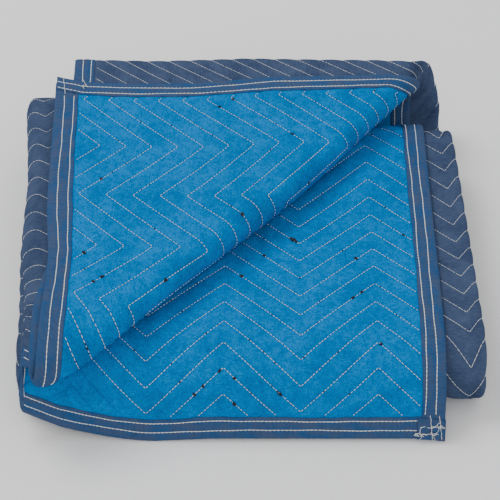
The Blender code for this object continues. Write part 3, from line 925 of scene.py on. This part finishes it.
def quilting(side, pitch_m, share, seed):
    """The zigzag rows' stitches on one face of the cloth: start and end places."""
    rng = np.random.default_rng(seed)
    fine_u = np.arange(BORDER, STRIP - BORDER, FINE_STEP)
    found = []
    for k in range(FIRST_ROW, int(DEPTH) - FIRST_ROW):
        base = k + row_shift(fine_u, k)
        v = base + row_base(base)
        keep = (v > BORDER) & (v < DEPTH - BORDER)
        if keep.sum() < MIN_RUN:
            continue
        ends = np.flatnonzero(np.diff(keep.astype(int)))
        edges = [0, *(ends + 1), len(keep)]
        for a, b in zip(edges, edges[1:]):
            if not keep[a]:
                continue
            turns = a + 1 + np.flatnonzero(np.diff(np.sign(np.diff(v[a:b]))))
            for first, last in zip([a, *turns], [*turns, b - 1]):
                if last - first > MIN_RUN:
                    run = slice(first, last + 1)
                    found.append(cut_run(fine_u[run], v[run], pitch_m, share, rng))
    rows = np.concatenate(found)
    middle_u = 0.5 * (rows[:, 0] + rows[:, 2])
    middle_v = 0.5 * (rows[:, 1] + rows[:, 3])
    return rows[shows(side, middle_u, middle_v)]


def make_quilting(name, side, spec, seed, material):
    pitch_m, share, width = spec
    rows = quilting(side, pitch_m, share, seed)
    start, normal, _, _ = surface(rows[:, 0], rows[:, 1], side)
    end, _, _, _ = surface(rows[:, 2], rows[:, 3], side)
    return make_stitches(name, start, end, normal, width, SINK, material, 4), rows


def tape_stitches(edge, start, end, d, side, seed, flick):
    """The stitches of one row along a strip."""
    rng = np.random.default_rng(seed)
    pitch_m, share, _ = TAPE_STITCH
    count = int((end - start) * PITCH_M / pitch_m)
    at = start + (np.arange(count) + 0.5) * pitch_m / PITCH_M
    half = 0.5 * share * pitch_m / PITCH_M * rng.uniform(*TAPE_LENGTHS, count)
    points = []
    for s in (at - half, at + half):
        dist = d + wander(s, seed, ROW_WANDER) - turned_out(s, flick)
        middle, normal = edge_places(edge, s, dist)
        height = TAPE_STITCH_HEIGHT_M + TAB_LIFT_M * tip_lift(s, flick)
        points.append(middle + normal * (side * height)[..., None])
    return points[0], points[1], normal * side


# corner sewing

CORNER_SEED = 41
TAB_HEIGHT_M = 0.0044
CORNER_STITCH_M = 0.0034
CORNER_THREAD_M = 0.00066
CORNER_OVERLAP = 1.12
HEIGHT_SPREAD_M = 0.0006
LINE_SWAY = 0.012
TACK_TURN = 0.5
TACK_HALF = (0.06, 0.13)
# lines of (u, v) places on the felted face
TAB_LINES = (((0.54, 0.99), (0.42, -0.04)), ((0.19, 0.99), (0.05, -0.04)))
FLAP_LINES = (
    ((STRIP - 0.95, 0.36), (STRIP + 0.22, 0.25)),
    ((STRIP + 0.12, 1.02), (STRIP - 0.45, 1.24)),
)
# clusters of crossed stitches: middle, half length along u, half width along v, and how many
TACKS = (
    ((0.42, 0.50), 0.42, 0.03, 9),
    ((0.60, 0.18), 0.46, 0.06, 13),
    ((STRIP - 0.45, 1.12), 0.10, 0.06, 3),
)
# thread ends that lie loose on the tape
LOOSE_ENDS = (
    ((0.85, 0.52), (0.95, 0.30), (0.80, 0.12), (0.92, -0.02)),
    ((0.30, 0.20), (0.16, 0.42), (0.30, 0.62), (0.14, 0.70)),
    ((0.98, 0.20), (1.10, 0.27), (1.06, 0.12), (1.14, 0.16)),
    ((0.40, 0.10), (0.30, -0.04), (0.44, -0.10)),
)


def rounded(path):
    """A smooth curve that passes near the points of a path."""
    points = np.array(path, float)
    for _ in range(2):
        cut = [points[:1]]
        for a, b in zip(points, points[1:]):
            cut.append(np.array((a * 0.75 + b * 0.25, a * 0.25 + b * 0.75)))
        cut.append(points[-1:])
        points = np.concatenate(cut)
    return points


def raised(uv, height_m):
    """Points over places on the felted face, and the way out there."""
    middle, normal, _, _ = cloth_frame(uv[:, 0], uv[:, 1])
    return middle + normal * np.asarray(height_m)[..., None], normal


def make_corner_sewing(material):
    """Rows, crossed stitches and loose thread ends at the two bound corners that show."""
    rng = np.random.default_rng(CORNER_SEED)
    starts = []
    ends = []
    for a, b in TAB_LINES + FLAP_LINES:
        a, b = np.array((a, b))
        count = max(2, int(np.hypot(*(b - a)) * PITCH_M / CORNER_STITCH_M))
        for k in range(count):
            sway = rng.uniform(-LINE_SWAY, LINE_SWAY, 2)
            starts.append(mix(a, b, k / count) + sway)
            ends.append(mix(a, b, (k + 1) / count) + sway)
    for centre, half_u, half_v, count in TACKS:
        for _ in range(count):
            middle = np.array(centre) + rng.uniform(-1.0, 1.0, 2) * (half_u, half_v)
            angle = rng.normal(0.0, TACK_TURN)
            half = rng.uniform(*TACK_HALF) * np.array((cos(angle), sin(angle)))
            starts.append(middle - half)
            ends.append(middle + half)
    tight = len(starts)
    for path in LOOSE_ENDS:
        curve = rounded(path)
        starts += list(curve[:-1])
        ends += list(curve[1:])
    height = np.full(len(starts), TAB_HEIGHT_M)
    height[:tight] += rng.uniform(0.0, HEIGHT_SPREAD_M, tight)
    a, normal = raised(np.array(starts), height)
    b, _ = raised(np.array(ends), height)
    return make_stitches("corner_sewing", a, b, normal, CORNER_THREAD_M, SINK, material, 6, CORNER_OVERLAP)


# fibre knots caught in the stitching

CHOICE_SEED = 21
KNOT_SEED = 22
KNOT_SHARE = 0.055
KNOT_SIZE_M = 0.0009
KNOT_SPREAD_M = 0.0011
# a few knots are bigger by this much
BIG_KNOT_M = 0.0022
BIG_KNOT_SHARE = 0.16
KNOT_FLAT = (1.3, 0.85, 0.55)
KNOT_ROUGH = 0.35
KNOT_WAVES = 9.0
KNOT_LIFT_M = 0.0002
KNOT_LIFT = 0.1


def knots(rows):
    """Which stitches carry a knot of fibre, and how big it is."""
    rng = np.random.default_rng(CHOICE_SEED)
    chosen = np.flatnonzero(rng.random(len(rows)) < KNOT_SHARE)
    size = KNOT_SIZE_M + KNOT_SPREAD_M * rng.random(len(chosen))
    return chosen, size + BIG_KNOT_M * (rng.random(len(chosen)) > 1.0 - BIG_KNOT_SHARE)


def knot_shape():
    mesh = bmesh.new()
    bmesh.ops.create_icosphere(mesh, subdivisions=2, radius=0.5)
    points = np.array([v.co[:] for v in mesh.verts])
    faces = [tuple(v.index for v in f.verts) for f in mesh.faces]
    mesh.free()
    return points, faces


def make_knots(name, rows, material):
    """Small dark lumps of fibre on the felted face, at chosen stitches."""
    chosen, sizes = knots(rows)
    rng = np.random.default_rng(KNOT_SEED)
    shape, shape_faces = knot_shape()
    u = rows[chosen, 0]
    v = rows[chosen, 1]
    point, normal, du, dv = surface(u, v, 1.0)
    points = []
    faces = []
    for i in range(len(chosen)):
        turn = rng.uniform(0.0, pi)
        x_dir = du[i] * cos(turn) + dv[i] * sin(turn)
        y_dir = np.cross(normal[i], x_dir)
        rough = 1.0 + KNOT_ROUGH * np.sin(shape @ rng.uniform(-KNOT_WAVES, KNOT_WAVES, (3, 2))).sum(1)
        local = shape * rough[:, None] * sizes[i]
        local = local * np.array(KNOT_FLAT)
        at = point[i] + normal[i] * (KNOT_LIFT_M + KNOT_LIFT * sizes[i])
        offset = len(points) * len(shape)
        points.append(at + local[:, :1] * x_dir + local[:, 1:2] * y_dir + local[:, 2:] * normal[i])
        faces += [tuple(a + offset for a in f) for f in shape_faces]
    return new_mesh_object(name, np.concatenate(points), faces, [material])


# materials

FELT_LIGHT = (0.0, 0.207, 0.562)
FELT_MIDDLE = (0.0, 0.16, 0.462)
FELT_DARK = (0.0, 0.068, 0.21)
FELT_BRIGHT = (0.001, 0.29, 0.68)
WEAVE_LIGHT = (0.062, 0.094, 0.178)
WEAVE_DARK = (0.034, 0.056, 0.118)
WEAVE_PALE = (0.12, 0.155, 0.235)
TAPE_GREY = (0.056, 0.09, 0.18)
TAPE_BLUE = (0.018, 0.085, 0.225)
TAPE_DARK = (0.022, 0.042, 0.1)
THREAD_BRIGHT = (0.9, 0.9, 0.88)
THREAD_SHADE = (0.68, 0.69, 0.7)
KNOT_DARK = (0.012, 0.01, 0.012)
KNOT_BROWN = (0.06, 0.04, 0.035)
KNOT_PINK = (0.55, 0.28, 0.24)
SPECULAR = 0.05
SHEEN_ROUGHNESS = 0.6


class Surface:
    """A node material under construction."""

    def __init__(self, name, roughness, sheen=0.0, specular=SPECULAR):
        self.material = bpy.data.materials.new(name)
        self.material.use_nodes = True
        self.nodes = self.material.node_tree.nodes
        self.links = self.material.node_tree.links
        self.shader = self.nodes["Principled BSDF"]
        self.feed(self.shader, "Roughness", roughness)
        self.feed(self.shader, "Specular IOR Level", specular)
        self.feed(self.shader, "Sheen Weight", sheen)
        self.feed(self.shader, "Sheen Roughness", SHEEN_ROUGHNESS)

    def feed(self, node, key, value):
        """Link an input to a socket, or set it to a constant."""
        if isinstance(value, bpy.types.NodeSocket):
            self.links.new(value, node.inputs[key])
        else:
            node.inputs[key].default_value = value

    def node(self, kind, **inputs):
        """Add a node with its inputs fed."""
        node = self.nodes.new(kind)
        for key, value in inputs.items():
            self.feed(node, key.replace("_", " "), value)
        return node

    def in_place(self):
        """Coordinates in the object's own space."""
        return self.node("ShaderNodeTexCoord").outputs["Object"]

    def attribute(self, name):
        node = self.node("ShaderNodeAttribute")
        node.attribute_name = name
        return node.outputs["Vector"], node.outputs["Fac"]

    def stretched(self, vector, scale, turn=0.0):
        turned = (0.0, 0.0, turn)
        return self.node("ShaderNodeMapping", Vector=vector, Scale=scale, Rotation=turned).outputs["Vector"]

    def noise(self, vector, scale, detail=3.0, roughness=0.55, distortion=0.0):
        node = self.node("ShaderNodeTexNoise", Vector=vector, Scale=scale, Detail=detail)
        self.feed(node, "Roughness", roughness)
        self.feed(node, "Distortion", distortion)
        return node.outputs["Fac"]

    def wave(self, vector, scale, direction, distortion=0.0):
        node = self.node("ShaderNodeTexWave", Vector=vector, Scale=scale, Distortion=distortion)
        node.bands_direction = direction
        return node.outputs["Fac"]

    def remap(self, value, low, high, to_low=0.0, to_high=1.0):
        node = self.node("ShaderNodeMapRange", Value=value, From_Min=low, From_Max=high)
        self.feed(node, "To Min", to_low)
        self.feed(node, "To Max", to_high)
        return node.outputs["Result"]

    def maths(self, operation, a, b):
        node = self.node("ShaderNodeMath")
        node.operation = operation
        self.feed(node, 0, a)
        self.feed(node, 1, b)
        return node.outputs["Value"]

    def blend(self, factor, a, b):
        node = self.node("ShaderNodeMix")
        node.data_type = "RGBA"
        self.feed(node, 0, factor)
        for key, value in ((6, a), (7, b)):
            self.feed(node, key, (*value, 1.0) if isinstance(value, tuple) else value)
        return node.outputs[2]

    def bump(self, height, strength, distance_m, below=None):
        node = self.node("ShaderNodeBump", Height=height, Strength=strength, Distance=distance_m)
        if below is not None:
            self.feed(node, "Normal", below)
        return node.outputs["Normal"]

    def finish(self, colour, normal):
        self.feed(self.shader, "Base Color", colour)
        self.feed(self.shader, "Normal", normal)
        return self.material


def felt_material():
    """Needled recycled fibre: mottled teal, matted, with darker flecks and painted shade along the stitched
    rows.
    """
    s = Surface("felt", 1.0, specular=0.0)
    place_on, _ = s.attribute("cloth")
    _, seam_shade = s.attribute("seam_shade")
    cloud = s.noise(place_on, 16.0, 3.0, 0.6)
    patch = s.noise(place_on, 70.0, 5.0, 0.65, 0.6)
    fibre_a = s.noise(s.stretched(place_on, (1.0, 0.28, 1.0), 0.5), 900.0, 4.0, 0.7, 0.8)
    fibre_b = s.noise(s.stretched(place_on, (0.3, 1.0, 1.0), -0.4), 700.0, 4.0, 0.7, 0.8)
    fibre = s.maths("MULTIPLY", s.maths("ADD", fibre_a, fibre_b), 0.5)
    fleck = s.noise(place_on, 420.0, 3.0, 0.6)
    colour = s.blend(s.remap(patch, 0.40, 0.62), FELT_LIGHT, FELT_MIDDLE)
    colour = s.blend(s.remap(cloud, 0.45, 0.66, 0.0, 0.30), colour, FELT_DARK)
    colour = s.blend(s.remap(fibre, 0.50, 0.60, 0.0, 0.60), colour, FELT_DARK)
    colour = s.blend(s.remap(fibre, 0.48, 0.38, 0.0, 0.45), colour, FELT_BRIGHT)
    colour = s.blend(s.remap(fleck, 0.66, 0.76, 0.0, 0.6), colour, FELT_DARK)
    # painted shade: darken the felt along the stitched rows
    colour = s.blend(s.maths("MULTIPLY", seam_shade, 0.35), colour, FELT_DARK)
    normal = s.bump(patch, 0.25, 0.0012)
    normal = s.bump(fibre, 0.5, 0.0006, normal)
    return s.finish(colour, normal)


def weave_material():
    """Tightly woven navy cotton, faded in cloudy patches, with painted shade along the stitched rows."""
    s = Surface("navy_weave", 0.95)
    place_on, _ = s.attribute("cloth")
    _, seam_shade = s.attribute("seam_shade")
    cloud = s.noise(place_on, 30.0, 4.0, 0.6, 0.4)
    slub = s.noise(s.stretched(place_on, (0.25, 1.0, 1.0)), 500.0, 3.0, 0.6)
    warp = s.wave(place_on, 320.0, "X", 0.6)
    weft = s.wave(place_on, 320.0, "Y", 0.6)
    weave = s.maths("MULTIPLY", s.maths("ADD", warp, weft), 0.5)
    colour = s.blend(s.remap(cloud, 0.35, 0.68), WEAVE_DARK, WEAVE_LIGHT)
    colour = s.blend(s.remap(slub, 0.45, 0.75, 0.0, 0.45), colour, WEAVE_PALE)
    colour = s.blend(s.remap(weave, 0.2, 0.9, 0.22, 0.0), colour, WEAVE_DARK)
    # painted shade: darken the weave along the stitched rows
    colour = s.blend(s.maths("MULTIPLY", seam_shade, 0.3), colour, WEAVE_DARK)
    normal = s.bump(cloud, 0.15, 0.0010)
    normal = s.bump(weave, 0.35, 0.0003, normal)
    return s.finish(colour, normal)


def tape_material():
    """Ribbed navy tape, brighter blue where its dye has worn."""
    s = Surface("binding_tape", 0.9)
    place_on, _ = s.attribute("cloth")
    worn = s.noise(s.stretched(place_on, (0.6, 1.6, 1.0)), 60.0, 4.0, 0.6, 0.6)
    streak = s.noise(s.stretched(place_on, (1.0, 0.12, 1.0)), 420.0, 3.0, 0.6)
    rib = s.wave(place_on, 210.0, "X", 0.4)
    colour = s.blend(s.remap(worn, 0.40, 0.66), TAPE_GREY, TAPE_BLUE)
    colour = s.blend(s.remap(streak, 0.48, 0.72, 0.0, 0.5), colour, TAPE_DARK)
    colour = s.blend(s.remap(rib, 0.0, 0.6, 0.25, 0.0), colour, TAPE_DARK)
    normal = s.bump(worn, 0.2, 0.0010)
    normal = s.bump(rib, 0.4, 0.0003, normal)
    return s.finish(colour, normal)


def thread_material():
    """Twisted cotton thread."""
    s = Surface("white_thread", 0.7, 0.2)
    place_on = s.in_place()
    twist = s.noise(place_on, 900.0, 2.0, 0.6)
    colour = s.blend(s.remap(twist, 0.35, 0.65), THREAD_SHADE, THREAD_BRIGHT)
    normal = s.bump(twist, 0.3, 0.0002)
    return s.finish(colour, normal)


def knot_material():
    """Dark fibre with a few paler strands."""
    s = Surface("fibre_knot", 0.95, 0.1)
    place_on = s.in_place()
    strand = s.noise(place_on, 500.0, 4.0, 0.7)
    patch = s.noise(place_on, 22.0, 2.0, 0.5)
    colour = s.blend(s.remap(strand, 0.45, 0.75), KNOT_DARK, KNOT_BROWN)
    colour = s.blend(s.remap(patch, 0.70, 0.74, 0.0, 0.8), colour, KNOT_PINK)
    normal = s.bump(strand, 0.6, 0.0005)
    return s.finish(colour, normal)


# camera, floor and light

CAMERA_ELEVATION = radians(43.38)
CAMERA_PLACE = (-1.93, -45.26, 47.08)
PHOTO_WIDTH = 500.0
FOCAL_PIXELS = 1700.0
SENSOR_MM = 36.0
CLIP_M = (0.05, 60.0)
FLOOR_HALF_M = 12.0
FLOOR_SHADE = (0.95, 0.95, 0.95)
FLOOR_LIGHT = (0.98, 0.98, 0.98)
WORLD_STRENGTH = 0.75
LIGHT_TARGET_M = (0.0, 0.0, 0.05)
# name, place and size in metres, and power
LIGHTS = (
    ("key", (-1.1, 1.0, 2.6), 1.4, 38.0),
    ("front", (0.4, -2.2, 2.0), 1.8, 16.0),
)


def make_camera():
    top = TOP_LEVEL * LAYER_M + 2 * PAD_HALF_M
    data = bpy.data.cameras.new("photo_camera")
    data.sensor_width = SENSOR_MM
    data.lens = FOCAL_PIXELS / PHOTO_WIDTH * SENSOR_MM
    data.clip_start, data.clip_end = CLIP_M
    camera = bpy.data.objects.new("photo_camera", data)
    x, y, z = (c * PITCH_M for c in CAMERA_PLACE)
    camera.location = (x - MIDDLE_X_M, y - MIDDLE_Y_M, z + top)
    camera.rotation_euler = (pi / 2 - CAMERA_ELEVATION, 0.0, 0.0)
    bpy.context.scene.collection.objects.link(camera)
    bpy.context.scene.camera = camera


def make_floor():
    corners = [(x * FLOOR_HALF_M, y * FLOOR_HALF_M, 0.0) for x, y in ((-1, -1), (1, -1), (1, 1), (-1, 1))]
    s = Surface("floor_paper", 0.9)
    grain = s.noise(s.in_place(), 300.0, 2.0)
    colour = s.blend(s.remap(grain, 0.3, 0.7), FLOOR_SHADE, FLOOR_LIGHT)
    paper = s.finish(colour, s.bump(grain, 0.05, 0.0002))
    new_mesh_object("floor", corners, [(0, 1, 2, 3)], [paper])


def area_light(name, place_m, size_m, power):
    data = bpy.data.lights.new(name, "AREA")
    data.shape = "DISK"
    data.size = size_m
    data.energy = power
    light = bpy.data.objects.new(name, data)
    light.location = place_m
    light.rotation_euler = (Vector(LIGHT_TARGET_M) - Vector(place_m)).to_track_quat("-Z", "Y").to_euler()
    bpy.context.scene.collection.objects.link(light)


def make_light():
    world = bpy.data.worlds.new("studio")
    bpy.context.scene.world = world
    world.use_nodes = True
    background = world.node_tree.nodes["Background"]
    background.inputs["Color"].default_value = (1.0, 1.0, 1.0, 1.0)
    background.inputs["Strength"].default_value = WORLD_STRENGTH
    for light in LIGHTS:
        area_light(*light)


# putting it together

FELT_SEED = 11
WEAVE_SEED = 12


def dress(obj, slot, *nodes):
    """Put a piece on the part's one body and hide the solids it stands for; its slot is not used."""
    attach(obj, "root")
    if nodes:
        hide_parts(*nodes)
    return obj


def make_tape_threads(name, edge, runs, flick, material):
    """The two stitched rows on both faces of a strip, over the given stretches."""
    rows = []
    seed = TAPE_SEED
    for start, end, side in runs:
        for d in TAPE_ROWS:
            seed += 1
            rows.append(tape_stitches(edge, start, end, d, side, seed, flick))
    starts, ends, normals = (np.concatenate(part) for part in zip(*rows))
    return make_stitches(name, starts, ends, normals, TAPE_STITCH[2], TAPE_SINK, material, 6)


def main():
    make_camera()
    make_floor()
    make_light()
    felt = felt_material()
    weave = weave_material()
    tape = tape_material()
    thread = thread_material()
    cloth = dress(make_cloth(felt, weave), "quilted_pad", "quilted_pad")
    for name, edge, start, end, seed, puff, flick in TAPES:
        strip = make_strip(name, edge, start, end, seed, puff, flick, tape)
        node = "binding_" + edge
        replaced = [] if name == "tape_corner_tab" else [node]
        dress(strip, node, *replaced)
    felt_rows, places = make_quilting("felt_quilting", 1.0, FELT_STITCH, FELT_SEED, thread)
    weave_rows, _ = make_quilting("weave_quilting", -1.0, WEAVE_STITCH, WEAVE_SEED, thread)
    lumps = make_knots("fibre_knots", places, knot_material())
    threads = [make_tape_threads(*row, thread) for row in TAPE_THREADS]
    corner = make_corner_sewing(thread)
    for obj in (felt_rows, weave_rows, lumps):
        dress(obj, "quilted_pad")
    for obj, row in zip(threads, TAPE_THREADS):
        dress(obj, "binding_" + row[1])
    dress(corner, "binding_near_end")


main()
